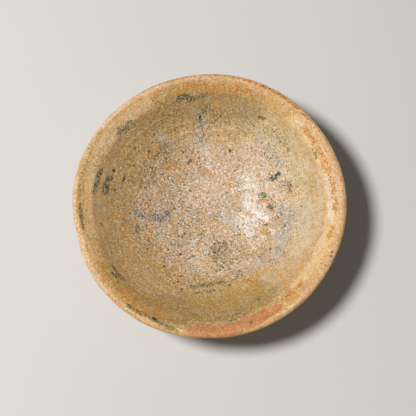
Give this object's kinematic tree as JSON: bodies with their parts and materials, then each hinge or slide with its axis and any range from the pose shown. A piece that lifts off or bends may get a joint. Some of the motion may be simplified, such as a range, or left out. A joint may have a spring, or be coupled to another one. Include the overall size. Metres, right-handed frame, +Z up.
{
  "type": "glazed bowl",
  "caption": "Shallow wheel-thrown bowl with a rounded lip, a flaring rim band inside a soft shoulder, a wide worn-glazed well and a low ring foot.",
  "frame": {"origin": "middle of the ring foot's underside, on the surface that the bowl stands on", "axes": "+Z up along the turning axis; +X and +Y are the picture's right and up as the bowl lies in it"},
  "size_m": [0.1508, 0.1491, 0.0447],
  "materials": {
    "worn_glaze": "worn, gritty buff and olive glaze over salmon-buff clay"
  },
  "bodies": {
    "root": {"bowl": "worn_glaze"}
  },
  "joints": []
}
